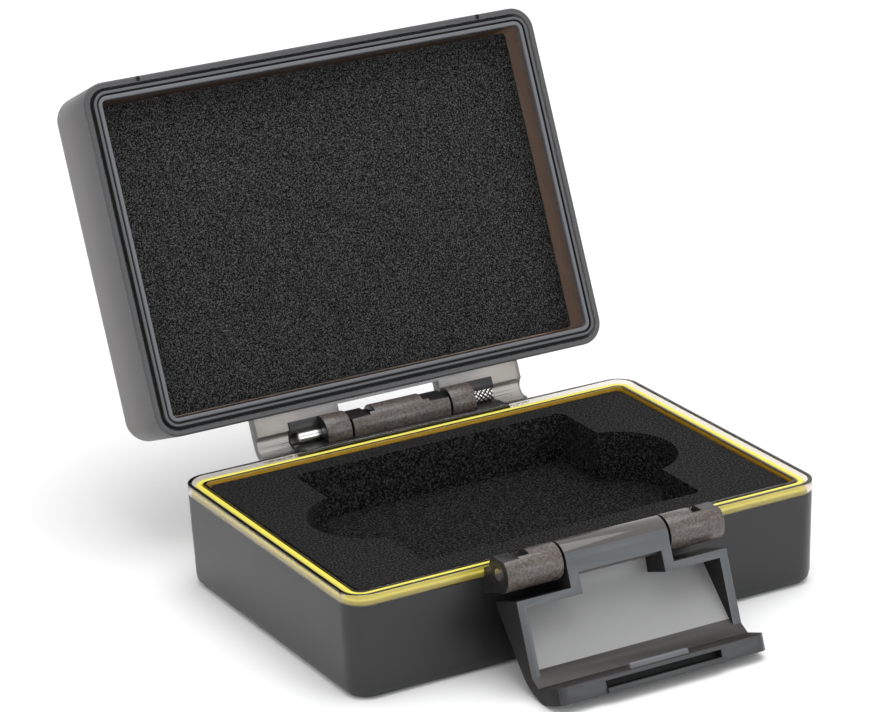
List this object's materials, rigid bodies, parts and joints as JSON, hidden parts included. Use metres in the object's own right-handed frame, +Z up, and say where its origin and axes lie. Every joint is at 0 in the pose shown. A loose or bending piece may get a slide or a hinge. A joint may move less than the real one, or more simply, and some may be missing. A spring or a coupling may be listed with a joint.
{
  "type": "hinged carry case",
  "caption": "Small hinged protective case standing open, with a sealed rim, a swing-down snap latch and a foam insert cut out for one item.",
  "frame": {"origin": "centre of the base's flat underside", "axes": "+X along the case's long side, +Y from the latch to the hinge, +Z up"},
  "size_m": [0.086, 0.1249, 0.0779],
  "materials": {
    "smoke_plastic": "smoke-tinted, slightly translucent, fine matte",
    "silicone": "yellow, satin",
    "foam": "fine closed-cell foam, matte",
    "adhesive_film": "thin double-sided film",
    "steel": "bright"
  },
  "bodies": {
    "base": {"base_tub": "smoke_plastic", "rim_seal": "silicone", "base_foam_block": "foam", "base_foam_floor": "foam", "base_foam_tape": "adhesive_film", "latch_pin": "steel"},
    "lid": {"lid_shell": "smoke_plastic", "lid_foam_pad": "foam", "lid_foam_tape": "adhesive_film", "hinge_pin": "steel"},
    "latch": {"latch_lever": "smoke_plastic"}
  },
  "joints": [
    {"name": "lid_hinge", "type": "hinge", "parent": "base", "child": "lid", "pos_m": [0, 0.0348, 0.01795], "axis": [1, 0, 0], "range_deg": [0, 112.5]},
    {"name": "latch_hinge", "type": "hinge", "parent": "base", "child": "latch", "pos_m": [0, -0.03445, 0.0177], "axis": [1, 0, 0], "range_deg": [-165.5, 0]}
  ]
}
